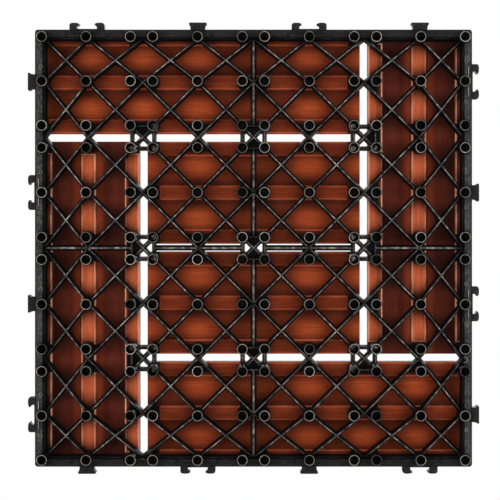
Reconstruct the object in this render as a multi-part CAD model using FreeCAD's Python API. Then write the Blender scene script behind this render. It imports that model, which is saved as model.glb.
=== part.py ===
import FreeCAD, Part

import math
import os

# Interlocking deck tile: a moulded grid on hollow feet carries six grooved planks laid in a pinwheel.
# The origin is on the ground at the middle of the tile, +Z points up to the walking face.
# All sizes are in millimetres.

# Overall sizes
tile_side = 300.0
base_height = 14.0
plank_gap = 5.4

# Hollow feet, six-sided because there are 144 of them
foot_diameter = 7.7
foot_bore = 5.8
foot_floor = 2.0
foot_pair_spacing = 15.2
foot_inset = 5.5

# Drafted ribs and the webs between feet
rib_tip_width = 1.6
rib_root_width = 3.4
centre_rib_extra = 0.5
rib_depth = 5.0
web_thickness = 2.5

# Border band
border_width = 5.5
border_depth = 10.0
border_flange = 2.2
border_wall = 2.0
border_chamfer = 1.4
border_corner = 2.0

# Edge connectors: a tab drops between the two hooks of the next tile
connector_reach = 4.7
connector_height = 6.0
connector_lift = 0.6
connector_root = 1.5
tab_neck_width = 9.3
tab_head_width = 12.2
tab_neck_length = 1.2
tab_flare_length = 1.6
connector_fit = 0.5
hook_stem_width = 4.6
hook_head_width = 7.0
hook_stem_length = 2.3
hook_head_corner = 1.0
tab_head_corner = 0.6

# Planks
plank_thickness = 8.5
land_height = 1.8
land_width = 10.3
land_chamfer = 1.1
land_setback = 10.0
plank_edge_chamfer = 1.2
plank_corner_chamfer = 1.0

# Screws through the floors of the feet
screw_diameter = 3.0
screw_head_diameter = 5.4
screw_head_height = 1.7
screw_length = 8.0
screw_clearance = 0.2

# Worked out from the sizes above
half_side = tile_side / 2
plank_width = (tile_side - 3 * plank_gap) / 4
module = plank_width + plank_gap
half_module = module / 2
pair_half = foot_pair_spacing / 2
outer_foot = half_side - foot_inset
ring_foot = (module + pair_half + outer_foot) / 2
rib_bottom = base_height - rib_depth
web_bottom = base_height - web_thickness
border_bottom = base_height - border_depth
bore_top = base_height - foot_floor
plank_back = base_height + land_height
turns = (0, 90, 180, 270)
side_count = 6
foot_face = foot_diameter / 2 * math.cos(math.pi / side_count)
foot_edge = foot_diameter / 2 * math.sin(math.pi / side_count)
corner_steps = 3
spill = 0.5


def vector(x, y, z=0.0):
    return FreeCAD.Vector(x, y, z)


def turned(shape, degrees):
    """A copy of a shape turned about the vertical axis of the tile."""
    copy = shape.copy()
    copy.rotate(vector(0, 0), vector(0, 0, 1), degrees)
    return copy


def prism(points, bottom, top):
    """A straight prism on an outline of (x, y) points."""
    corners = [vector(x, y, bottom) for x, y in points]
    face = Part.Face(Part.makePolygon(corners + corners[:1]))
    return face.extrude(vector(0, 0, top - bottom))


def ring_points(x, y, radius):
    """The corners of a regular outline with a flat towards +X."""
    points = []
    for index in range(side_count):
        angle = math.tau * (index + 0.5) / side_count
        points.append((x + radius * math.cos(angle), y + radius * math.sin(angle)))
    return points


def post(x, y, bottom, top, diameter):
    """An upright post whose corners lie on a circle of this diameter."""
    return prism(ring_points(x, y, diameter / 2), bottom, top)


def bore(x, y, bottom, top, diameter):
    """An upright hole whose flats touch a circle of this diameter."""
    radius = diameter / 2 / math.cos(math.pi / side_count)
    return prism(ring_points(x, y, radius), bottom, top)


# Places on one axis, from the middle outwards: (coordinate, whether two feet share the node)
half_axis = [(half_module, False), (module, True), (ring_foot, False), (outer_foot, False)]
node_axis = [(-place, pair) for place, pair in reversed(half_axis)] + [(0.0, True)] + half_axis


def foot_places():
    """The twelve foot places along one axis."""
    places = []
    for place, pair in node_axis:
        places += [place - pair_half, place + pair_half] if pair else [place]
    return places


def plank_rectangles():
    """Each plank as (name, middle x, middle y, length, turn about Z)."""
    long_length = 3 * plank_width + 2 * plank_gap
    short_length = 2 * plank_width + plank_gap
    edge_middle = half_side - plank_width / 2
    end_middle = (tile_side - long_length) / 2
    return [
        ("plank_south", -end_middle, -edge_middle, long_length, 0),
        ("plank_east", edge_middle, -end_middle, long_length, 90),
        ("plank_north", end_middle, edge_middle, long_length, 180),
        ("plank_west", -edge_middle, end_middle, long_length, 270),
        ("plank_centre_south", 0.0, -module / 2, short_length, 0),
        ("plank_centre_north", 0.0, module / 2, short_length, 180),
    ]


def under_plank(x, y):
    """Whether a point of the plan lies under a plank and not under a gap."""
    for name, middle_x, middle_y, length, turn in plank_rectangles():
        along_x = length if turn in (0, 180) else plank_width
        along_y = plank_width if turn in (0, 180) else length
        if abs(x - middle_x) < along_x / 2 and abs(y - middle_y) < along_y / 2:
            return True
    return False


def screw_places():
    """Each screw as (x, y, whether it stands in a plank's relieved end)."""
    inner = module - pair_half
    far = module + pair_half
    long_plank = [
        (-outer_foot, -outer_foot, True),
        (inner, -outer_foot, True),
        (-outer_foot, -far, True),
        (inner, -far, True),
        (-inner, -far, False),
    ]
    places = []
    for turn in turns:
        angle = math.radians(turn)
        for x, y, at_end in long_plank:
            turned_x = x * math.cos(angle) - y * math.sin(angle)
            turned_y = x * math.sin(angle) + y * math.cos(angle)
            places.append((turned_x, turned_y, at_end))
    for side in (-1, 1):
        for x in (-inner, inner):
            places += [(x, side * pair_half, True), (x, side * inner, True)]
    return places


def frustum(lower, lower_z, upper, upper_z):
    """A solid between two outlines with as many corners, each pair of sides in one plane."""
    below = [vector(x, y, lower_z) for x, y in lower]
    above = [vector(x, y, upper_z) for x, y in upper]
    outlines = [below, above]
    for index in range(len(below)):
        after = (index + 1) % len(below)
        outlines.append([below[index], below[after], above[after], above[index]])
    faces = [Part.Face(Part.makePolygon(corners + corners[:1])) for corners in outlines]
    return Part.Solid(Part.Shell(faces))


def rib_half(z):
    """Half the width of a drafted rib at a height."""
    share = (z - rib_bottom) / rib_depth
    return (rib_tip_width + (rib_root_width - rib_tip_width) * share) / 2


def inset(outline, z):
    """An anticlockwise outline of (x, y, side kind), with its rib sides moved in by half a rib."""
    lines = []
    for index, (x, y, kind) in enumerate(outline):
        next_x, next_y = outline[(index + 1) % len(outline)][:2]
        length = math.hypot(next_x - x, next_y - y)
        normal_x = (y - next_y) / length
        normal_y = (next_x - x) / length
        margin = {"flat": 0.0, "rib": rib_half(z), "centre": rib_half(z) + centre_rib_extra / 2}[kind]
        lines.append((normal_x, normal_y, normal_x * x + normal_y * y + margin))
    points = []
    for index, (a, b, c) in enumerate(lines):
        before_a, before_b, before_c = lines[index - 1]
        size = before_a * b - a * before_b
        points.append(((before_c * b - c * before_b) / size, (before_a * c - a * before_c) / size))
    return points


def clipped(outline, along, side, limit, kind):
    """The part of a convex outline beyond a limit on axis 0 or 1, in the direction of side."""
    kept = []
    for index, corner in enumerate(outline):
        after = outline[(index + 1) % len(outline)]
        inside = side * (corner[along] - limit)
        next_inside = side * (after[along] - limit)
        if inside >= 0:
            kept.append(corner)
        if (inside < 0) != (next_inside < 0):
            share = inside / (inside - next_inside)
            x = corner[0] + (after[0] - corner[0]) * share
            y = corner[1] + (after[1] - corner[1]) * share
            kept.append((x, y, kind if inside >= 0 else corner[2]))
    return kept


def pocket(outline, bottom, top):
    """The open space of an outline between two heights, with drafted sides along its ribs."""
    return frustum(inset(outline, bottom), bottom, inset(outline, top), top)


def anticlockwise(outline):
    """An outline in anticlockwise order, each side keeping its kind."""
    area = 0.0
    for index, (x, y, kind) in enumerate(outline):
        next_x, next_y = outline[(index + 1) % len(outline)][:2]
        area += x * next_y - next_x * y
    if area > 0:
        return outline
    kinds = [kind for x, y, kind in outline]
    corners = [(x, y) for x, y, kind in reversed(outline)]
    turned_kinds = kinds[-2::-1] + kinds[-1:]
    return [(x, y, kind) for (x, y), kind in zip(corners, turned_kinds)]


def row_outlines(start, end, row):
    """The outlines round the line between two neighbouring nodes of a row: a diamond, or two triangles."""
    places = [place for place, pair in node_axis]
    index = places.index(row)
    middle = (start + end) / 2
    peaks = [(middle, (row + place) / 2) for place in places[max(index - 1, 0):index + 2] if place != row]
    if row == 0.0 or len(peaks) == 1:
        base_kind = "centre" if row == 0.0 else "rib"
        outlines = [[(start, row, "rib"), peak + ("rib",), (end, row, base_kind)] for peak in peaks]
    else:
        outlines = [[(start, row, "rib"), peaks[0] + ("rib",), (end, row, "rib"), peaks[1] + ("rib",)]]
    return outlines


def edge_pockets(start, end, row, along):
    """The pockets round the line between two neighbouring nodes of a row along axis 0 or 1."""
    pockets = []
    for outline in row_outlines(start[0], end[0], row[0]):
        if along == 1:
            outline = [(y, x, kind) for x, y, kind in outline]
        outline = anticlockwise(outline)
        lower = outline
        upper = outline
        for place, side in ((start, 1), (end, -1)):
            inner = place[0] + side * pair_half
            if place[1] and row[1]:
                lower = clipped(lower, along, side, inner, "rib")
                upper = clipped(upper, along, side, inner, "rib")
                if under_plank(*((inner, row[0]) if along == 0 else (row[0], inner))):
                    upper = clipped(upper, along, side, inner + side * foot_face, "flat")
            elif place[1]:
                upper = clipped(upper, along, side, inner + side * foot_edge, "flat")
        if upper == lower:
            pockets.append(pocket(lower, rib_bottom - spill, base_height + spill))
        else:
            pockets.append(pocket(lower, rib_bottom - spill, web_bottom))
            pockets.append(pocket(upper, web_bottom, base_height + spill))
    return pockets


def square_pockets():
    """The four small triangles inside each square of four feet; a plate closes those under planks."""
    pockets = []
    pairs = [place for place, pair in node_axis if pair]
    for x in pairs:
        for y in pairs:
            for turn in turns:
                cosine = round(math.cos(math.radians(turn)))
                sine = round(math.sin(math.radians(turn)))
                corners = []
                for u, v in ((0.0, 0.0), (pair_half, -pair_half), (pair_half, pair_half)):
                    corners.append((x + u * cosine - v * sine, y + u * sine + v * cosine, "rib"))
                plated = under_plank(x + pair_half * cosine, y + pair_half * sine)
                top = web_bottom if plated else base_height + spill
                pockets.append(pocket(corners, rib_bottom - spill, top))
    return pockets


def lattice_pockets():
    """All the open spaces between the ribs."""
    pockets = square_pockets()
    for row in node_axis:
        for start, end in zip(node_axis, node_axis[1:]):
            for along in (0, 1):
                pockets += edge_pockets(start, end, row, along)
    return pockets


def border_outline(margin):
    """The tile's outline with rounded corners, drawn in by a margin."""
    radius = border_corner - margin
    middle = half_side - border_corner
    points = []
    for turn in turns:
        angle = math.radians(turn)
        for step in range(corner_steps + 1):
            bend = angle + math.pi / 2 * step / corner_steps
            x = middle * (math.cos(angle) - math.sin(angle)) + radius * math.cos(bend)
            y = middle * (math.sin(angle) + math.cos(angle)) + radius * math.sin(bend)
            points.append((x, y))
    return points


def border():
    """The band round the tile: an outer wall on a flat flange, chamfered below."""
    outer = border_outline(0.0)
    chamfer_top = border_bottom + border_chamfer
    wall = prism(outer, chamfer_top, base_height)
    lower = frustum(border_outline(border_chamfer), border_bottom, outer, chamfer_top)
    window = half_side - border_width
    channel = half_side - border_wall
    flange_top = border_bottom + border_flange
    opening = Part.makeBox(2 * window, 2 * window, base_height, vector(-window, -window, 0))
    recess = Part.makeBox(2 * channel, 2 * channel, base_height, vector(-channel, -channel, flange_top))
    return wall.fuse(lower).cut(opening.fuse(recess))


def tab(middle):
    """A dovetail tab on the side at +X, at a place along Y."""
    neck = tab_neck_width / 2
    head = tab_head_width / 2
    flare_end = tab_neck_length + tab_flare_length
    half_outline = [
        (-connector_root, neck),
        (tab_neck_length, neck),
        (flare_end, head),
        (connector_reach - tab_head_corner, head),
        (connector_reach, head - tab_head_corner),
    ]
    outline = half_outline + [(u, -v) for u, v in reversed(half_outline)]
    points = [(half_side + u, middle + v) for u, v in outline]
    bottom = border_bottom + connector_lift
    return prism(points, bottom, bottom + connector_height)


def hook_pair(middle):
    """Two bollard hooks on the side at +X."""
    bottom = border_bottom + connector_lift
    offset = tab_neck_width / 2 + connector_fit + hook_head_width / 2
    stem = hook_stem_width / 2
    head = hook_head_width / 2
    half_outline = [
        (-connector_root, stem),
        (hook_stem_length, stem),
        (hook_stem_length + hook_head_corner, head),
        (connector_reach - hook_head_corner, head),
        (connector_reach, head - hook_head_corner),
    ]
    outline = half_outline + [(u, -v) for u, v in reversed(half_outline)]
    pieces = []
    for side in (-1, 1):
        points = [(half_side + u, middle + side * offset + v) for u, v in outline]
        pieces.append(prism(points, bottom, bottom + connector_height))
    return pieces


def connectors():
    """Two tabs and two pairs of hooks on each side, the same on every side in turn."""
    side = hook_pair(-ring_foot) + [tab(-half_module)] + hook_pair(half_module) + [tab(ring_foot)]
    return [turned(piece, turn) for turn in turns for piece in side]


def nearby(shapes, side_x, side_y):
    """The shapes that lie in one quarter of the plan, or across its edge."""
    found = []
    for shape in shapes:
        middle = shape.BoundBox.Center
        if middle.x * side_x > -0.1 and middle.y * side_y > -0.1:
            found.append(shape)
    return found


def quarter_box(side_x, side_y, size, bottom, height):
    """A square block over one quarter of the plan."""
    start = vector(min(0.0, side_x * size), min(0.0, side_y * size), bottom)
    return Part.makeBox(size, size, height, start)


def base_grid():
    """The moulded grid in one piece, made a quarter at a time."""
    raised = {(round(x, 3), round(y, 3)) for x, y, at_end in screw_places() if at_end}
    feet = []
    hollows = []
    for x in foot_places():
        for y in foot_places():
            top = plank_back if (round(x, 3), round(y, 3)) in raised else base_height
            feet.append(post(x, y, 0, top, foot_diameter))
            hollows.append(bore(x, y, -1, bore_top, foot_bore))
    hole = screw_diameter + 2 * screw_clearance
    for x, y, at_end in screw_places():
        hollows.append(bore(x, y, bore_top - 1, plank_back + 1, hole))
    pockets = lattice_pockets()
    rim = border()
    edges = connectors()
    quarters = []
    for side_x, side_y in ((-1, -1), (1, -1), (1, 1), (-1, 1)):
        slab = quarter_box(side_x, side_y, half_side - border_wall / 2, rib_bottom, rib_depth)
        lattice = slab.cut(Part.makeCompound(nearby(pockets, side_x, side_y)))
        added = [rim.common(quarter_box(side_x, side_y, half_side, 0, base_height))]
        added += nearby(feet + edges, side_x, side_y)
        body = lattice.multiFuse(added)
        body = body.cut(Part.makeCompound(nearby(hollows, side_x, side_y)))
        quarters.append(body.removeSplitter())
    return quarters[0].multiFuse(quarters[1:]).removeSplitter()


def land(length, middle_y):
    """One raised land on the back of a plank, chamfered all round."""
    outlines = []
    for margin in (land_chamfer, 0.0):
        half_length = length / 2 - margin
        half_width = land_width / 2 - margin
        outlines.append([
            (-half_length, middle_y - half_width),
            (half_length, middle_y - half_width),
            (half_length, middle_y + half_width),
            (-half_length, middle_y + half_width),
        ])
    return frustum(outlines[0], 0.0, outlines[1], land_height)


def plank(middle_x, middle_y, length, turn):
    """A plank with three lands on its back and eased edges on its walking face."""
    height = plank_thickness - land_height
    start = vector(-length / 2, -plank_width / 2, land_height)
    body = Part.makeBox(length, plank_width, height, start)
    upright = [edge for edge in body.Edges if abs(edge.Vertexes[0].Z - edge.Vertexes[1].Z) > 1]
    body = body.makeChamfer(plank_corner_chamfer, upright)
    upper = [edge for edge in body.Edges if edge.BoundBox.ZMin > plank_thickness - 0.01]
    body = body.makeChamfer(plank_edge_chamfer, upper)
    edge_land = (plank_width - land_width) / 2
    lands = [land(length - 2 * land_setback, y) for y in (-edge_land, 0, edge_land)]
    body = body.multiFuse(lands)
    body.translate(vector(0, 0, base_height))
    body = turned(body, turn)
    body.translate(vector(middle_x, middle_y))
    pilots = []
    for x, y, at_end in screw_places():
        if abs(x - middle_x) < body.BoundBox.XLength / 2 and abs(y - middle_y) < body.BoundBox.YLength / 2:
            pilots.append(post(x, y, base_height - 1, bore_top + screw_length, screw_diameter))
    return body.cut(Part.makeCompound(pilots)).removeSplitter()


def screw(x, y):
    """A pan-head screw, head down in its foot and point up in the plank."""
    head = post(x, y, bore_top - screw_head_height, bore_top, screw_head_diameter)
    return head.fuse(post(x, y, bore_top, bore_top + screw_length, screw_diameter))


def main():
    os.makedirs("parts", exist_ok=True)
    nodes = {"base_grid": base_grid()}
    for name, middle_x, middle_y, length, turn in plank_rectangles():
        nodes[name] = plank(middle_x, middle_y, length, turn)
    nodes["plank_screws"] = Part.makeCompound([screw(x, y) for x, y, at_end in screw_places()])
    for name, shape in nodes.items():
        shape.exportStep("parts/" + name + ".step")
        print(name, len(shape.Solids), round(shape.Volume), shape.isValid())


main()
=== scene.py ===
import math
import random

import bmesh
import bpy
from mathutils import Matrix, Vector


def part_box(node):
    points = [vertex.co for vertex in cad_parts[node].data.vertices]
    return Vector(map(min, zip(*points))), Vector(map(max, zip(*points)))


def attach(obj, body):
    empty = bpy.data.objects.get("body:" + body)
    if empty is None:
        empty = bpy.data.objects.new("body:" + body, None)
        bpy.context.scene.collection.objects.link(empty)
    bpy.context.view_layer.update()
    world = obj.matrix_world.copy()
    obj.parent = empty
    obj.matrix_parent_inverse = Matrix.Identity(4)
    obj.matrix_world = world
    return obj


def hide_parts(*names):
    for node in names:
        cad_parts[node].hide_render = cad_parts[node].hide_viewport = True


# An interlocking deck tile: six grooved composite planks screwed to a black moulded grid on hollow feet.
# The camera looks straight up at it from below. Sizes are in millimetres where a comment doesn't say metres,
# MM turns them into metres, and points nearer than SAME_PLACE count as one.

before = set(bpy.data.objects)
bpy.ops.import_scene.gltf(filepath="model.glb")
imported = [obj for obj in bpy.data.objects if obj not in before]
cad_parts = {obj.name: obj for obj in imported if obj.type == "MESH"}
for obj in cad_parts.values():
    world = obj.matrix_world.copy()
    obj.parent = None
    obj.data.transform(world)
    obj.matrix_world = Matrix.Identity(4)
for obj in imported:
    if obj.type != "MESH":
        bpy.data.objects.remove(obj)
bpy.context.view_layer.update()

MM = 0.001
SAME_PLACE = 0.001
rng = random.Random(7)

# Overall sizes
TILE = 300.0
HALF = TILE / 2
BASE_HEIGHT = 14.0
PLANK_GAP = 5.4
PLANK_WIDTH = (TILE - 3 * PLANK_GAP) / 4
MODULE = PLANK_WIDTH + PLANK_GAP

# Planks: a body, with lands on its back that stand on the grid
LAND_HEIGHT = 1.8
PLANK_BACK = BASE_HEIGHT + LAND_HEIGHT
PLANK_CORNER = 1.0
PLANK_TOP_EDGE = 1.1
PLANK_BACK_EDGE = 0.12
LAND_WIDTH = 10.3
LAND_CHAMFER = 0.9
LAND_SETBACK = 8.0
LAND_EASING = 0.2
LAND_SUNK = 0.5
LAND_INSET = 0.02
GROOVE_MIDDLE = PLANK_WIDTH / 4
GROOVE_HALF = (PLANK_WIDTH - 3 * LAND_WIDTH) / 4

# A plank's face takes its material, and with it painted light, shade or highlight, from its normal's Z and
# from how near the tile's side it is
FACES_DOWN = -0.9
FLAT_DOWN = -0.97
OUTER_SKIN = 1.2

# Feet. A pair's two feet stand PAIR_HALF either side of their middle
PAIR_HALF = 7.6
OUTER_FOOT = HALF - 5.5
RING_FOOT = (MODULE + PAIR_HALF + OUTER_FOOT) / 2
FOOT_RADIUS = 3.86
BORE_RADIUS = 2.9
FOOT_FLOOR = 12.0
FOOT_FLARE = 0.12
FOOT_FLARE_START = 11.0
FOOT_CORE = 0.6
FOOT_STEPS = 32
LIP_STEPS = 8
LIP_FLATNESS = 0.7
MOST_WEAR = 0.06
BORE_STEP_IN = 0.4
BORE_STEP_UP = 0.3

# The tops of feet, ribs and webs end at slightly different heights, so that no two lie in one plane
FOOT_TOP = BASE_HEIGHT - 0.05
RIB_TOP = BASE_HEIGHT - 0.02
WEB_TOP = BASE_HEIGHT - 0.03

# Ribs, by half their widths, and webs. A rib stops FOOT_TRIM short of the middle of a foot
RIB_BOTTOM = BASE_HEIGHT - 5.0
RIB_TIP = 0.8
RIB_ROOT = 1.7
RIB_ROUNDING = [(0.08, 0.42), (-0.05, 0.18), (-0.25, 0.05), (-0.5, 0.0)]
CENTRE_EXTRA = 0.25
FOOT_TRIM = 3.3
WEB_BOTTOM = BASE_HEIGHT - 1.97
WEB_PAST_PAIR = 1.93
WEB_PAST_SQUARE = 3.33
WEB_EDGE = 1.0
WEB_STOP = 3.0

# Border band, as (distance in from the tile's side, height) points
BORDER_BOTTOM = 4.0
BORDER_CORNER = 2.0
CORNER_STEPS = 8
BAND_PROFILE = [
    (0.0, 13.9), (0.0, 5.75), (0.06, 5.5), (0.22, 5.24), (1.18, 4.16), (1.42, 4.03), (1.7, 4.0), (5.05, 4.0),
    (5.32, 4.06), (5.46, 4.18), (5.5, 4.4), (5.5, 6.0), (5.3, 6.2), (2.2, 6.2), (2.0, 6.4), (2.0, 13.9),
]

# Edge connectors, as (distance out from the tile's side, distance from their middle) points
CONNECTOR_BOTTOM = 4.6
CONNECTOR_HEIGHT = 6.0
CONNECTOR_EASING = 0.22
TAB = [(-1.6, 5.0), (2.2, 5.0), (3.0, 5.6), (3.5, 6.1), (4.3, 6.1), (4.6, 5.8), (4.7, 5.2)]
HOOK = [
    (-1.6, 6.9), (1.9, 6.9), (2.5, 6.6), (2.9, 6.0), (3.1, 5.35), (3.5, 5.15), (3.9, 5.4), (4.35, 6.3),
    (4.6, 7.6), (4.6, 9.6), (4.4, 10.9), (3.9, 11.65), (3.2, 12.0), (-1.6, 12.0),
]
TAB_PLACES = (-MODULE / 2, RING_FOOT)
HOOK_PLACES = (-RING_FOOT, MODULE / 2)

# A ridge and a ledge at each pair of hooks, as outward limits, half length, bottom and height
RIDGE = (-3.0, -2.55, 9.6, BORDER_BOTTOM - 0.45, 0.6)
LEDGE = (-1.0, 0.65, 7.2, BORDER_BOTTOM + 2.4, 6.0)

# Rings moulded on the band, as (radius, height) points
RING_MARGIN = 4.2
RING_BY_TAB = 10.3
RING_BY_HOOKS = 14.0
SMALL_RING_STEPS = 18
LARGE_RING_STEPS = 24
SMALL_RING = [(1.35, 4.3), (1.35, 3.85), (1.22, 3.74), (1.0, 3.74), (0.88, 3.85), (0.88, 4.3)]
LARGE_RING = [(2.3, 4.3), (2.3, 3.75), (2.15, 3.62), (1.8, 3.6), (1.6, 3.75), (1.6, 4.3)]

# Screws, as (radius, height over the seat) points from the tip round to the head, and their cross recess
SCREW_STEPS = 32
SCREW_PROFILE = [
    (0.0, 8.0), (0.9, 7.0), (1.45, 5.5), (1.45, 0.0), (2.62, 0.0), (2.68, -0.3), (2.6, -0.9), (2.25, -1.4),
    (1.6, -1.66), (0.0, -1.7),
]
HEAD_FACE = -1.7
RECESS = (2.9, 0.62, 1.9)
RECESS_TAPER = 0.55

# Shading of meshes: edges sharper than this many degrees stay crisp, and faces larger than this stay flat
SMOOTH_ANGLE = 40
SCREW_SMOOTH_ANGLE = 35
LARGE_FACE = 0.0001


def link(obj):
    bpy.context.scene.collection.objects.link(obj)
    return obj


def mesh_object(name, bm, materials, smooth_angle=None):
    mesh = bpy.data.meshes.new(name)
    bm.to_mesh(mesh)
    bm.free()
    for material in materials:
        mesh.materials.append(material)
    obj = link(bpy.data.objects.new(name, mesh))
    if smooth_angle is not None:
        mesh.shade_smooth()
        mesh.set_sharp_from_angle(angle=math.radians(smooth_angle))
        for polygon in mesh.polygons:
            if polygon.area > LARGE_FACE:
                polygon.use_smooth = False
    return obj


# Materials

class Nodes:
    """A short way to write a material's node tree."""

    def __init__(self, name):
        self.material = bpy.data.materials.new(name)
        self.material.use_nodes = True
        self.tree = self.material.node_tree
        self.tree.nodes.clear()
        self.output = self.add("ShaderNodeOutputMaterial")

    def connect(self, socket, value):
        if isinstance(value, bpy.types.NodeSocket):
            self.tree.links.new(value, socket)
        else:
            socket.default_value = value

    def add(self, kind, inputs=None, **settings):
        node = self.tree.nodes.new(kind)
        for key, value in settings.items():
            setattr(node, key, value)
        for key, value in (inputs or {}).items():
            self.connect(node.inputs[key], value)
        return node

    def place(self):
        """Position on the object, in metres."""
        return self.add("ShaderNodeTexCoord").outputs["Object"]

    def geometry(self, output, axis):
        """One axis of the surface's position or normal."""
        vector = self.add("ShaderNodeNewGeometry").outputs[output]
        return self.add("ShaderNodeSeparateXYZ", {0: vector}).outputs[axis]

    def noise(self, vector, scale, detail, roughness):
        inputs = {"Vector": vector, "Scale": scale, "Detail": detail, "Roughness": roughness}
        return self.add("ShaderNodeTexNoise", inputs).outputs["Fac"]

    def streaked_noise(self, vector, scale, detail):
        """Noise stretched by a scale of its own along each axis."""
        stretched = self.add("ShaderNodeMapping", {"Vector": vector, "Scale": scale}).outputs["Vector"]
        return self.noise(stretched, 1.0, detail, 0.6)

    def remap(self, value, low, high, new_low, new_high):
        inputs = {"Value": value, "From Min": low, "From Max": high, "To Min": new_low, "To Max": new_high}
        return self.add("ShaderNodeMapRange", inputs).outputs["Result"]

    def fade(self, value, none_at, full_at):
        """A share that grows from 0 to 1 between two values."""
        return self.remap(value, none_at, full_at, 0.0, 1.0)

    def ramp(self, factor, stops):
        node = self.add("ShaderNodeValToRGB", {"Fac": factor})
        elements = node.color_ramp.elements
        elements[0].position, elements[0].color = stops[0]
        elements[1].position, elements[1].color = stops[-1]
        for place, color in stops[1:-1]:
            elements.new(place).color = color
        return node.outputs["Color"]

    def mix(self, factor, first, second):
        node = self.add("ShaderNodeMix", {0: factor, 6: first, 7: second}, data_type="RGBA")
        return node.outputs[2]

    def openness(self, distance, none_at, full_at):
        """How open a spot is to its surroundings: 0 in a crevice, 1 where nothing stands near."""
        node = self.add("ShaderNodeAmbientOcclusion", {"Distance": distance}, samples=6)
        return self.fade(node.outputs["AO"], none_at, full_at)

    def math(self, operation, *values):
        return self.add("ShaderNodeMath", dict(enumerate(values)), operation=operation).outputs[0]

    def product(self, first, second):
        return self.math("MULTIPLY", first, second)

    def bump(self, height, strength, distance, normal=None):
        inputs = {"Height": height, "Strength": strength, "Distance": distance}
        if normal is not None:
            inputs["Normal"] = normal
        return self.add("ShaderNodeBump", inputs).outputs["Normal"]

    def surface(self, **inputs):
        shader = self.add("ShaderNodeBsdfPrincipled")
        for key, value in inputs.items():
            self.connect(shader.inputs[key.replace("_", " ")], value)
        self.tree.links.new(shader.outputs[0], self.output.inputs["Surface"])
        return self.material


def rgb(red, green, blue):
    """Linear colour from eight-bit display values."""
    linear = []
    for value in (red, green, blue):
        share = value / 255
        linear.append(share / 12.92 if share <= 0.04045 else ((share + 0.055) / 1.055) ** 2.4)
    return (*linear, 1.0)


def grid_plastic():
    """Black moulded plastic with painted light: grey band and rib tips, highlights on rib crests and foot
    rims, shade in recesses.
    """
    n = Nodes("grid_plastic")
    place = n.place()
    height = n.geometry("Position", "Z")
    sideways = n.math("ABSOLUTE", n.geometry("Position", "X"))
    facing = n.geometry("Normal", "Z")
    downward = n.fade(facing, -0.86, -0.995)
    crest = n.fade(facing, -0.978, -0.998)
    specks = n.noise(place, 620.0, 3.0, 0.65)
    patches = n.fade(n.noise(place, 27.0, 2.0, 0.5), 0.38, 0.62)
    # Patchy strength of the painted light on band and rib tips
    patchy_light = n.remap(n.noise(place, 210.0, 5.0, 0.7), 0.3, 0.62, 0.45, 1.0)

    # Painted light: the band is lighter on the two sides at the ends of X, which face the side lamps, and
    # its raised marks there carry a pale painted highlight
    band = n.ramp(specks, [(0.32, rgb(22, 23, 25)), (0.5, rgb(33, 33, 35)), (0.7, rgb(48, 47, 46))])
    side_lit_band = n.ramp(specks, [(0.32, rgb(40, 41, 42)), (0.5, rgb(60, 59, 60)), (0.7, rgb(88, 86, 84))])
    on_sides = n.product(n.fade(sideways, 0.1438, 0.1444), n.fade(sideways, 0.1496, 0.149))
    band = n.mix(on_sides, band, side_lit_band)
    raised = n.product(on_sides, n.fade(height, 0.00385, 0.00365))
    band = n.mix(raised, band, rgb(196, 192, 186))

    # Painted highlight: a pale line along each rib's crest
    crest_highlight = n.ramp(n.noise(place, 260.0, 4.0, 0.6),
                  [(0.34, rgb(44, 45, 45)), (0.5, rgb(96, 94, 91)), (0.66, rgb(172, 166, 156))])
    tips = n.mix(crest, rgb(26, 26, 27), crest_highlight)
    # Painted highlight: a pale ring on the rounded foot rims, patchy and flecked dark
    rims = n.mix(patches, rgb(70, 70, 68), rgb(184, 181, 174))
    rims = n.mix(n.remap(specks, 0.35, 0.65, 0.6, 0.0), rims, rgb(50, 50, 50))

    # The painted-light colours by height: rims lowest, then the band, then the rib tips
    grey = n.mix(n.fade(height, 0.0062, 0.0078), band, tips)
    grey = n.mix(n.fade(height, 0.00045, 0.0002), grey, rims)
    # Painted shade: the grey shows only on open, downward-facing parts below the webs; crevices, flanks and
    # the parts between close feet stay black
    unshaded = n.product(n.fade(height, 0.0098, 0.0093), n.openness(0.009, 0.5, 0.9))
    black = n.ramp(n.noise(place, 38.0, 5.0, 0.6),
                   [(0.3, rgb(9, 9, 10)), (0.5, rgb(13, 13, 14)), (0.72, rgb(19, 19, 20))])
    color = n.mix(n.product(n.product(unshaded, downward), patchy_light), black, grey)

    roughness = n.remap(n.noise(place, 160.0, 3.0, 0.6), 0.3, 0.7, 0.36, 0.55)
    normal = n.bump(n.noise(place, 1900.0, 2.0, 0.5), 0.25, 0.00004)
    normal = n.bump(n.noise(place, 240.0, 3.0, 0.5), 0.35, 0.00012, normal)
    return n.surface(Base_Color=color, Roughness=roughness, Normal=normal, IOR=1.5, Specular_IOR_Level=0.06)


def along_plank(along_x, along, across):
    """A noise scale for each axis: one along the plank and another across it."""
    return (along, across, across) if along_x else (across, along, across)


def nearness_to_wall(n, along_x):
    """A share that grows on the floor of a groove from its middle to its walls."""
    start = 0.35 if along_x else 0.6
    across = n.math("ABSOLUTE", n.geometry("Position", "Y" if along_x else "X"))
    in_module = n.math("MODULO", across, MODULE * MM)
    from_plank_middle = n.math("ABSOLUTE", n.math("SUBTRACT", in_module, MODULE / 2 * MM))
    from_groove_middle = n.math("ABSOLUTE", n.math("SUBTRACT", from_plank_middle, GROOVE_MIDDLE * MM))
    return n.fade(from_groove_middle, GROOVE_HALF * MM * start, GROOVE_HALF * MM * 1.05)


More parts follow.
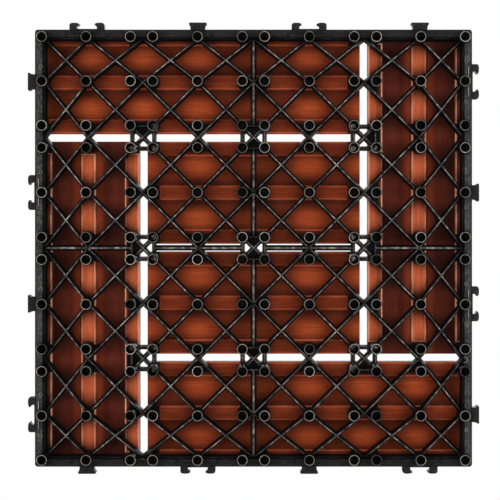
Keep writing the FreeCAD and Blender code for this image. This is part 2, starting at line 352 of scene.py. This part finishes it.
def plank_composite(name, along_x, dark, mid, light, painted_wall_tone=None, crevice_shade=0.75):
    """Extruded wood composite: streaks along the plank and flecks of wood flour, with painted shade in the
    crevices and a painted tone towards the groove walls where one is given.
    """
    n = Nodes(name)
    place = n.place()
    streaks = n.streaked_noise(place, along_plank(along_x, 60.0, 2600.0), 3.0)
    bands = n.streaked_noise(place, along_plank(along_x, 9.0, 420.0), 3.0)
    flour = n.streaked_noise(place, along_plank(along_x, 420.0, 1500.0), 2.0)
    color = n.ramp(streaks, [(0.3, rgb(*dark)), (0.5, rgb(*mid)), (0.72, rgb(*light))])
    color = n.mix(n.remap(bands, 0.35, 0.7, 0.0, 0.45), color, rgb(*dark))
    color = n.mix(n.remap(flour, 0.62, 0.8, 0.0, 0.3), color, rgb(*light))
    # Painted light and shade: the groove floor turns towards the given colour near its walls
    if painted_wall_tone:
        color = n.mix(nearness_to_wall(n, along_x), color, rgb(*painted_wall_tone))
    # Painted shade: darker in crevices, near ribs, feet and lands, where the AO node finds them
    if crevice_shade:
        painted_crevice_shade = n.remap(n.openness(0.012, 0.4, 0.94), 0.0, 1.0, crevice_shade, 0.0)
        color = n.mix(painted_crevice_shade, color, rgb(*(channel * 0.3 for channel in dark)))
    roughness = n.remap(streaks, 0.3, 0.7, 0.48, 0.64)
    normal = n.bump(streaks, 0.5, 0.00008)
    normal = n.bump(flour, 0.3, 0.00006, normal)
    return n.surface(Base_Color=color, Roughness=roughness, Normal=normal, IOR=1.46, Specular_IOR_Level=0.08)


def screw_steel():
    """Plated steel, dark with bright flecks."""
    n = Nodes("screw_steel")
    marks = n.noise(n.place(), 1300.0, 3.0, 0.6)
    color = n.ramp(marks, [(0.42, rgb(34, 33, 32)), (0.54, rgb(96, 94, 90)), (0.64, rgb(240, 236, 228))])
    roughness = n.remap(marks, 0.3, 0.7, 0.4, 0.62)
    normal = n.bump(marks, 0.25, 0.00004)
    return n.surface(Base_Color=color, Roughness=roughness, Normal=normal, Metallic=1.0)


def floor_material():
    """Pale floor that is clear when it is seen or lit from below."""
    n = Nodes("studio_floor")
    tint = n.noise(n.place(), 3.0, 2.0, 0.5)
    color = n.ramp(tint, [(0.3, (0.86, 0.86, 0.85, 1.0)), (0.7, (0.9, 0.9, 0.89, 1.0))])
    matte = n.add("ShaderNodeBsdfDiffuse", {"Color": color})
    clear = n.add("ShaderNodeBsdfTransparent")
    back = n.add("ShaderNodeNewGeometry").outputs["Backfacing"]
    mixed = n.add("ShaderNodeMixShader", {0: back, 1: matte.outputs[0], 2: clear.outputs[0]})
    n.tree.links.new(mixed.outputs[0], n.output.inputs["Surface"])
    return n.material


# A plank's materials stand in the order common, land, edge of a land, and groove
COMMON, LAND, EDGE_HIGHLIGHT, GROOVE = range(4)
WALKING = ((98, 42, 23), (146, 70, 40), (188, 106, 68))
# Lit and shaded copies of one composite. Along X: painted shade on the lands, painted light in the grooves
# that darkens towards their walls
planks_x = [
    plank_composite("plank_composite_x", True, *WALKING),
    plank_composite("plank_land_x_painted_shade", True, (106, 40, 18), (136, 54, 26), (162, 74, 40)),
    plank_composite("plank_edge_x_painted_highlight", True, (142, 62, 34), (178, 86, 54), (206, 120, 86), crevice_shade=0.0),
    plank_composite("plank_groove_x_painted_light", True, (138, 54, 24), (170, 72, 34), (194, 94, 50), painted_wall_tone=(98, 37, 20)),
]
# Along Y: painted light on the lands, painted shade in the grooves that lightens towards their walls, and
# stronger painted crevice shade on the lands
planks_y = [
    plank_composite("plank_composite_y", False, *WALKING),
    plank_composite("plank_land_y_painted_light", False, (172, 76, 42), (200, 98, 58), (218, 120, 80), crevice_shade=1.3),
    plank_composite("plank_edge_y_painted_highlight", False, (204, 118, 84), (230, 162, 130), (246, 204, 178), crevice_shade=0.0),
    plank_composite("plank_groove_y_painted_shade", False, (80, 30, 19), (97, 39, 25), (116, 51, 34), painted_wall_tone=(160, 66, 34)),
]
plastic = grid_plastic()
steel = screw_steel()


# Planks

def bevel(bm, edges, radius, segments):
    bmesh.ops.bevel(bm, geom=edges, offset=radius, segments=segments, profile=0.5, affect="EDGES",
                    clamp_overlap=True)


def add_stack(bm, low, high, levels, radius):
    """A block given by (height, inset) levels from the bottom up, with its lowest part's edges eased."""
    rings = []
    for height, inset in levels:
        corners = [(low[0] + inset, low[1] + inset), (high[0] - inset, low[1] + inset),
                   (high[0] - inset, high[1] - inset), (low[0] + inset, high[1] - inset)]
        rings.append([bm.verts.new((x, y, height)) for x, y in corners])
    bm.faces.new(list(reversed(rings[0])))
    bm.faces.new(rings[-1])
    for ring, above in zip(rings, rings[1:]):
        for index in range(4):
            after = (index + 1) % 4
            bm.faces.new((ring[index], ring[after], above[after], above[index]))
    lowest = rings[0] + rings[1]
    bevel(bm, [edge for edge in bm.edges if all(vert in lowest for vert in edge.verts)], radius, 2)


def add_plank_body(bm, low, high):
    """The plank above its lands, with eased upright corners and rounded upper edges."""
    made = bmesh.ops.create_cube(bm, size=1.0)
    for vert in made["verts"]:
        vert.co = Vector((high.x if vert.co.x > 0 else low.x, high.y if vert.co.y > 0 else low.y,
                          high.z if vert.co.z > 0 else PLANK_BACK))
    upright = [edge for edge in bm.edges if abs(edge.verts[0].co.z - edge.verts[1].co.z) > 1.0]
    bevel(bm, upright, PLANK_CORNER, 4)
    for height, radius, segments in ((high.z, PLANK_TOP_EDGE, 4), (PLANK_BACK, PLANK_BACK_EDGE, 1)):
        rim = [edge for edge in bm.edges
               if all(abs(vert.co.z - height) < SAME_PLACE for vert in edge.verts)]
        bevel(bm, rim, radius, segments)


def add_lands(bm, low, high, along_x):
    """Three raised lands along the plank's back, set back from its ends."""
    across = 1 if along_x else 0
    along = 1 - across
    middle = (low + high) / 2
    step = (PLANK_WIDTH - LAND_WIDTH) / 2
    levels = [(low.z, LAND_CHAMFER), (PLANK_BACK, 0.0), (PLANK_BACK + LAND_SUNK, LAND_INSET)]
    for offset in (-step, 0.0, step):
        start = [0.0, 0.0]
        end = [0.0, 0.0]
        start[along] = low[along] + LAND_SETBACK
        end[along] = high[along] - LAND_SETBACK
        start[across] = max(middle[across] + offset - LAND_WIDTH / 2, low[across] + LAND_INSET)
        end[across] = min(middle[across] + offset + LAND_WIDTH / 2, high[across] - LAND_INSET)
        add_stack(bm, start, end, levels, LAND_EASING)


def plank_object(node, along_x):
    low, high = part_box(node)
    low, high = low / MM, high / MM
    bm = bmesh.new()
    add_plank_body(bm, low, high)
    for face in bm.faces:
        face.normal_update()
        face.material_index = GROOVE if face.normal.z < FACES_DOWN else COMMON
    body_faces = set(bm.faces)
    add_lands(bm, low, high, along_x)
    for face in bm.faces:
        if face not in body_faces:
            face.normal_update()
            middle = face.calc_center_median()
            # Flat land faces take the land material; eased sides take the painted highlight, except near the
            # tile's side
            if face.normal.z < FLAT_DOWN:
                face.material_index = LAND
            elif max(abs(middle.x), abs(middle.y)) > HALF - OUTER_SKIN:
                face.material_index = COMMON
            else:
                face.material_index = EDGE_HIGHLIGHT
    bmesh.ops.scale(bm, vec=(MM, MM, MM), verts=bm.verts)
    materials = planks_x if along_x else planks_y
    obj = mesh_object(node.replace("plank", "deck_plank"), bm, materials, SMOOTH_ANGLE)
    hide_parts(node)
    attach(obj, "root")


plank_nodes = [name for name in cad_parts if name.startswith("plank_") and name != "plank_screws"]
for name in plank_nodes:
    low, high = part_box(name)
    plank_object(name, high.x - low.x > high.y - low.y)


# Moulded grid. Its nodes lie on the same places along X and Y, and a pair of feet stands at some of them

HALF_AXIS = [(MODULE / 2, False), (MODULE, True), (RING_FOOT, False), (OUTER_FOOT, False)]
AXIS = [(-place, pair) for place, pair in reversed(HALF_AXIS)] + [(0.0, True)] + HALF_AXIS
FEET = []
for place, pair in AXIS:
    FEET += [place - PAIR_HALF, place + PAIR_HALF] if pair else [place]


def add_lathe(bm, x, y, profile, steps, closed=False):
    """A profile of (radius, height) points turned about an upright line. A closed one joins its two ends."""
    rings = []
    for radius, height in profile:
        angles = [math.tau * index / steps for index in range(steps)]
        rings.append([bm.verts.new((x + radius * math.cos(angle), y + radius * math.sin(angle), height))
                      for angle in angles])
    for ring, after in zip(rings, rings[1:] + rings[:1] if closed else rings[1:]):
        for index in range(steps):
            following = (index + 1) % steps
            bm.faces.new((ring[index], ring[following], after[following], after[index]))
    return rings


def add_prism(bm, points, low, high, easing=0.0):
    """An upright prism on an outline of (x, y) points, with its lower rim eased."""
    below = [bm.verts.new((x, y, low)) for x, y in points]
    above = [bm.verts.new((x, y, high)) for x, y in points]
    bottom = bm.faces.new(list(reversed(below)))
    bm.faces.new(above)
    for index in range(len(points)):
        after = (index + 1) % len(points)
        bm.faces.new((below[index], below[after], above[after], above[index]))
    if easing:
        bevel(bm, list(bottom.edges), easing, 2)


def add_bar(bm, start, end, trim_start=0.0, trim_end=0.0, extra=0.0):
    """A drafted rib with a rounded tip, from start to end less a trim at either end."""
    start = Vector((*start, 0.0))
    end = Vector((*end, 0.0))
    way = (end - start).normalized()
    start = start + way * trim_start
    end = end - way * trim_end
    side = Vector((-way.y, way.x, 0.0))
    half = [(RIB_ROOT + extra, RIB_TOP)]
    half += [(RIB_TIP + extra + out, RIB_BOTTOM + up) for out, up in RIB_ROUNDING]
    section = half + [(-offset, height) for offset, height in reversed(half)]
    ends = []
    for place in (start, end):
        points = [place + side * offset + Vector((0, 0, height)) for offset, height in section]
        ends.append([bm.verts.new(point) for point in points])
    bm.faces.new(ends[0])
    bm.faces.new(list(reversed(ends[1])))
    for index in range(len(section)):
        after = (index + 1) % len(section)
        bm.faces.new((ends[0][after], ends[0][index], ends[1][index], ends[1][after]))


def under_plank(x, y):
    for name in plank_nodes:
        low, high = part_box(name)
        if low.x < x * MM < high.x and low.y < y * MM < high.y:
            return True
    return False


def foot_on_diagonal(node_x, node_y):
    """How far along a diagonal a foot stands from a node: 0 at the node, or None where no foot is on it."""
    if node_x[1] and node_y[1]:
        return PAIR_HALF * math.sqrt(2)
    return None if node_x[1] or node_y[1] else 0.0


def add_diagonal_ribs(bm):
    """Two diagonals in every cell, cut where they pass a foot."""
    for x0, x1 in zip(AXIS, AXIS[1:]):
        for y0, y1 in zip(AXIS, AXIS[1:]):
            for nodes in (((x0, y0), (x1, y1)), ((x0, y1), (x1, y0))):
                start, end = [(node_x[0], node_y[0]) for node_x, node_y in nodes]
                length = math.dist(start, end)
                cuts = []
                for node in nodes:
                    foot = foot_on_diagonal(*node)
                    cuts.append(0.0 if foot is None else foot + FOOT_TRIM)
                    if foot:
                        far = length - foot + FOOT_TRIM
                        add_bar(bm, start, end, *((0.0, far) if node is nodes[0] else (far, 0.0)))
                add_bar(bm, start, end, *cuts)


def add_straight_ribs(bm):
    """The centre ribs, the ribs behind the border band and the sides of each square of four feet."""
    for turned in (False, True):
        def way(u, v):
            return (v, u) if turned else (u, v)
        for place in (-OUTER_FOOT, OUTER_FOOT):
            add_bar(bm, way(-OUTER_FOOT, place), way(OUTER_FOOT, place))
        for start, end in ((-OUTER_FOOT, -MODULE - PAIR_HALF), (-MODULE + PAIR_HALF, -PAIR_HALF)):
            for side in (-1, 1):
                add_bar(bm, way(start * side, 0.0), way(end * side, 0.0), extra=CENTRE_EXTRA)
        for x, pair_x in AXIS:
            for y, pair_y in AXIS:
                if pair_x and pair_y:
                    for side in (-1, 1):
                        row = y + side * PAIR_HALF
                        add_bar(bm, way(x - PAIR_HALF, row), way(x + PAIR_HALF, row), FOOT_TRIM, FOOT_TRIM)


def add_webs(bm):
    """Thin webs: a bow tie through each pair of feet, and plates under the planks at each square of four."""
    for x, pair_x in AXIS:
        for y, pair_y in AXIS:
            for quarter in range(4):
                angle = math.pi / 2 * quarter
                c, s = round(math.cos(angle)), round(math.sin(angle))
                if pair_x and pair_y:
                    if not under_plank(x + PAIR_HALF * c, y + PAIR_HALF * s):
                        continue
                    reach = PAIR_HALF + WEB_PAST_SQUARE
                elif (pair_x and s == 0) or (pair_y and c == 0):
                    reach = PAIR_HALF + WEB_PAST_PAIR
                else:
                    continue
                corners = [(0.0, 0.0), (reach, -reach), (reach, reach)]
                points = [(x + u * c - v * s, y + u * s + v * c) for u, v in corners]
                if max(abs(value) for point in points for value in point) >= HALF - WEB_EDGE:
                    stop = HALF - WEB_STOP
                    points = [(max(-stop, min(stop, px)), max(-stop, min(stop, py))) for px, py in points]
                add_prism(bm, points, WEB_BOTTOM, WEB_TOP)


def add_feet(bm):
    """Hollow feet with a rounded, slightly worn lip."""
    middle = (FOOT_RADIUS + BORE_RADIUS) / 2
    half = (FOOT_RADIUS - BORE_RADIUS) / 2
    for x in FEET:
        for y in FEET:
            wear = rng.uniform(0.0, MOST_WEAR)
            profile = [(FOOT_CORE, FOOT_TOP), (FOOT_RADIUS + FOOT_FLARE, FOOT_TOP),
                       (FOOT_RADIUS, FOOT_FLARE_START)]
            for step in range(LIP_STEPS + 1):
                angle = math.pi * step / LIP_STEPS
                lip_height = wear + half * LIP_FLATNESS * (1 - math.sin(angle))
                profile.append((middle + half * math.cos(angle), lip_height))
            profile += [(BORE_RADIUS - FOOT_FLARE, FOOT_FLOOR - BORE_STEP_UP),
                        (BORE_RADIUS - BORE_STEP_IN, FOOT_FLOOR), (FOOT_CORE, FOOT_FLOOR)]
            add_lathe(bm, x, y, profile, FOOT_STEPS, closed=True)


def add_band(bm):
    """The border band, swept round the tile with rounded corners."""
    loops = []
    for quarter in range(4):
        turn = math.pi / 2 * quarter
        for step in range(CORNER_STEPS + 1):
            bend = turn + math.pi / 2 * step / CORNER_STEPS
            loop = []
            for margin, height in BAND_PROFILE:
                radius = max(BORDER_CORNER - margin, 0.0)
                middle = HALF - margin - radius
                x = middle * (math.cos(turn) - math.sin(turn)) + radius * math.cos(bend)
                y = middle * (math.sin(turn) + math.cos(turn)) + radius * math.sin(bend)
                loop.append(bm.verts.new((x, y, height)))
            loops.append(loop)
    made = [vert for loop in loops for vert in loop]
    for loop, after in zip(loops, loops[1:] + loops[:1]):
        for place in range(len(loop)):
            following = (place + 1) % len(loop)
            bm.faces.new((loop[place], after[place], after[following], loop[following]))
    bmesh.ops.remove_doubles(bm, verts=made, dist=SAME_PLACE)


def turned_outline(outline, turn):
    """Points given as (outwards, along) on the side at +X, turned to another side."""
    c, s = round(math.cos(turn)), round(math.sin(turn))
    return [((HALF + u) * c - v * s, (HALF + u) * s + v * c) for u, v in outline]


def beside(half, middle, side):
    """Half an outline, placed on one side of a middle."""
    points = [(u, middle + side * v) for u, v in half]
    return points if side > 0 else list(reversed(points))


def strip(inner, outer, half_length, middle):
    return [(inner, middle - half_length), (outer, middle - half_length),
            (outer, middle + half_length), (inner, middle + half_length)]


def add_connectors(bm):
    """Dovetail tabs and pairs of barbed hooks, with the ridges, ledges and rings moulded beside them."""
    parts = []
    spots = [middle + RING_BY_TAB for middle in TAB_PLACES]
    for middle in TAB_PLACES:
        outline = beside(TAB, middle, 1) + beside(TAB, middle, -1)
        parts.append((outline, CONNECTOR_BOTTOM, CONNECTOR_HEIGHT))
    for middle in HOOK_PLACES:
        for side in (1, -1):
            parts.append((beside(HOOK, middle, side), CONNECTOR_BOTTOM, CONNECTOR_HEIGHT))
        for inner, outer, half_length, bottom, height in (RIDGE, LEDGE):
            parts.append((strip(inner, outer, half_length, middle), bottom, height))
        spots += [middle + side * RING_BY_HOOKS for side in (-1, 1)]
    for quarter in range(4):
        turn = math.pi / 2 * quarter
        for outline, bottom, height in parts:
            points = list(reversed(turned_outline(outline, turn)))
            add_prism(bm, points, bottom, bottom + height, CONNECTOR_EASING)
        for x, y in turned_outline([(-RING_MARGIN, spot) for spot in spots], turn):
            add_lathe(bm, x, y, SMALL_RING, SMALL_RING_STEPS, closed=True)


def grid_object():
    bm = bmesh.new()
    add_diagonal_ribs(bm)
    add_straight_ribs(bm)
    add_webs(bm)
    add_band(bm)
    add_connectors(bm)
    add_feet(bm)
    add_lathe(bm, OUTER_FOOT, MODULE, LARGE_RING, LARGE_RING_STEPS, closed=True)
    bmesh.ops.scale(bm, vec=(MM, MM, MM), verts=bm.verts)
    bmesh.ops.recalc_face_normals(bm, faces=bm.faces)
    obj = mesh_object("deck_grid", bm, [plastic], SMOOTH_ANGLE)
    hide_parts("base_grid")
    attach(obj, "root")


grid_object()


# Screws: round pan heads with a cross recess

def screw_spots():
    """Five feet at each long plank, the same for every quarter turn, and four at each centre plank."""
    inner = MODULE - PAIR_HALF
    outer = MODULE + PAIR_HALF
    long_plank = [(-OUTER_FOOT, -OUTER_FOOT), (inner, -OUTER_FOOT), (-OUTER_FOOT, -outer), (inner, -outer),
                  (-inner, -outer)]
    spots = []
    for quarter in range(4):
        turn = Matrix.Rotation(math.pi / 2 * quarter, 2)
        spots += [tuple(turn @ Vector(spot)) for spot in long_plank]
    for side in (-1, 1):
        for x in (-inner, inner):
            spots += [(x, side * PAIR_HALF), (x, side * inner)]
    return spots


def screw_mesh():
    """One screw with its seat at height zero, head below and shank above."""
    bm = bmesh.new()
    rings = add_lathe(bm, 0.0, 0.0, SCREW_PROFILE, SCREW_STEPS)
    bmesh.ops.remove_doubles(bm, verts=rings[0] + rings[-1], dist=SAME_PLACE)
    bmesh.ops.recalc_face_normals(bm, faces=bm.faces)
    body = mesh_object("screw_blank", bm, [steel])
    cutter_bm = bmesh.new()
    for angle in (0.0, math.pi / 2):
        matrix = Matrix.Rotation(angle, 4, "Z") @ Matrix.Translation((0, 0, HEAD_FACE))
        made = bmesh.ops.create_cube(cutter_bm, size=1.0, matrix=matrix @ Matrix.Diagonal((*RECESS, 1)))
        for vert in made["verts"]:
            if vert.co.z > HEAD_FACE:
                vert.co.x *= RECESS_TAPER
                vert.co.y *= RECESS_TAPER
    cutter = mesh_object("screw_cutter", cutter_bm, [steel])
    for obj in (body, cutter):
        obj.data.transform(Matrix.Scale(MM, 4))
    modifier = body.modifiers.new("recess", "BOOLEAN")
    modifier.object = cutter
    modifier.solver = "EXACT"
    modifier.use_self = True
    graph = bpy.context.evaluated_depsgraph_get()
    mesh = bpy.data.meshes.new_from_object(body.evaluated_get(graph))
    bpy.data.objects.remove(body)
    bpy.data.objects.remove(cutter)
    return mesh


def screws_object():
    blank = screw_mesh()
    bm = bmesh.new()
    for x, y in screw_spots():
        before = len(bm.verts)
        bm.from_mesh(blank)
        bm.verts.ensure_lookup_table()
        seat = Matrix.Translation((x * MM, y * MM, FOOT_FLOOR * MM))
        twist = Matrix.Rotation(rng.uniform(0, 1.57), 4, "Z")
        bmesh.ops.transform(bm, matrix=seat @ twist, verts=bm.verts[before:])
    obj = mesh_object("deck_screws", bm, [steel], SCREW_SMOOTH_ANGLE)
    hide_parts("plank_screws")
    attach(obj, "root")


screws_object()

# The replaced nodes get the finish of what stands for them
node_finish = {"base_grid": plastic, "plank_screws": steel}
for name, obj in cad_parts.items():
    obj.data.materials.clear()
    obj.data.materials.append(node_finish.get(name, planks_x[COMMON]))


# Floor

floor_bm = bmesh.new()
bmesh.ops.create_grid(floor_bm, x_segments=1, y_segments=1, size=3.0)
floor = mesh_object("studio_floor", floor_bm, [floor_material()])
floor.visible_shadow = False


# World: a low plain light, and white where the camera, gloss or glass sees it

def world_light(tree, strength):
    node = tree.nodes.new("ShaderNodeBackground")
    node.inputs["Color"].default_value = (1.0, 1.0, 1.0, 1.0)
    node.inputs["Strength"].default_value = strength
    return node.outputs[0]


world = bpy.data.worlds.new("studio")
bpy.context.scene.world = world
world.use_nodes = True
tree = world.node_tree
tree.nodes.clear()
output = tree.nodes.new("ShaderNodeOutputWorld")
path = tree.nodes.new("ShaderNodeLightPath")
seen = path.outputs["Is Camera Ray"]
for kind in ("Is Glossy Ray", "Is Transmission Ray"):
    either = tree.nodes.new("ShaderNodeMath")
    either.operation = "MAXIMUM"
    tree.links.new(seen, either.inputs[0])
    tree.links.new(path.outputs[kind], either.inputs[1])
    seen = either.outputs[0]
choose = tree.nodes.new("ShaderNodeMixShader")
tree.links.new(seen, choose.inputs[0])
tree.links.new(world_light(tree, 0.2), choose.inputs[1])
tree.links.new(world_light(tree, 1.0), choose.inputs[2])
tree.links.new(choose.outputs[0], output.inputs["Surface"])


# Lamps, with places and sizes in metres. The boxes stand below the tile and point at its middle

def box_lamp(name, place, size, power):
    data = bpy.data.lights.new(name, "AREA")
    data.shape = "RECTANGLE"
    data.size, data.size_y = size
    data.energy = power
    obj = link(bpy.data.objects.new(name, data))
    obj.location = place
    obj.rotation_euler = (-Vector(place)).to_track_quat("-Z", "Y").to_euler()


box_lamp("left_box", (-0.8, 0.0, -0.42), (0.4, 0.7), 7.2)
box_lamp("right_box", (0.8, 0.0, -0.42), (0.4, 0.7), 7.2)
box_lamp("front_box", (0.0, 0.8, -0.5), (0.7, 0.4), 3.6)
box_lamp("back_box", (0.0, -0.8, -0.5), (0.7, 0.4), 3.6)
box_lamp("camera_box", (0.05, -0.05, -1.4), (0.3, 0.3), 3.2)
sun = bpy.data.lights.new("top_sun", "SUN")
sun.energy = 2.3
sun.angle = math.radians(50)
top_sun = link(bpy.data.objects.new("top_sun", sun))
top_sun.rotation_euler = (math.radians(14), math.radians(10), 0.0)


# Camera: straight up from below. Scale in pixels a millimetre at the feet, and two pixels of the frame:
# the one straight ahead of the lens and the one where the tile's middle shows

FRAME = 500
SENSOR = 36.0
SCALE = 1.467
DISTANCE = 850.0
AHEAD = (268.0, 212.0)
MIDDLE = (253.4, 248.4)
camera_data = bpy.data.cameras.new("camera")
camera_data.sensor_fit = "HORIZONTAL"
camera_data.sensor_width = SENSOR
camera_data.lens = SCALE * DISTANCE * SENSOR / FRAME
camera_data.shift_x = (FRAME / 2 - AHEAD[0]) / FRAME
camera_data.shift_y = (AHEAD[1] - FRAME / 2) / FRAME
camera_data.clip_start = 0.01
camera = link(bpy.data.objects.new("camera", camera_data))
camera.location = ((AHEAD[0] - MIDDLE[0]) / SCALE * MM, (AHEAD[1] - MIDDLE[1]) / SCALE * MM, -DISTANCE * MM)
camera.rotation_euler = (math.pi, 0.0, 0.0)
bpy.context.scene.camera = camera
bpy.context.scene.view_settings.view_transform = "Standard"

bpy.context.view_layer.update()
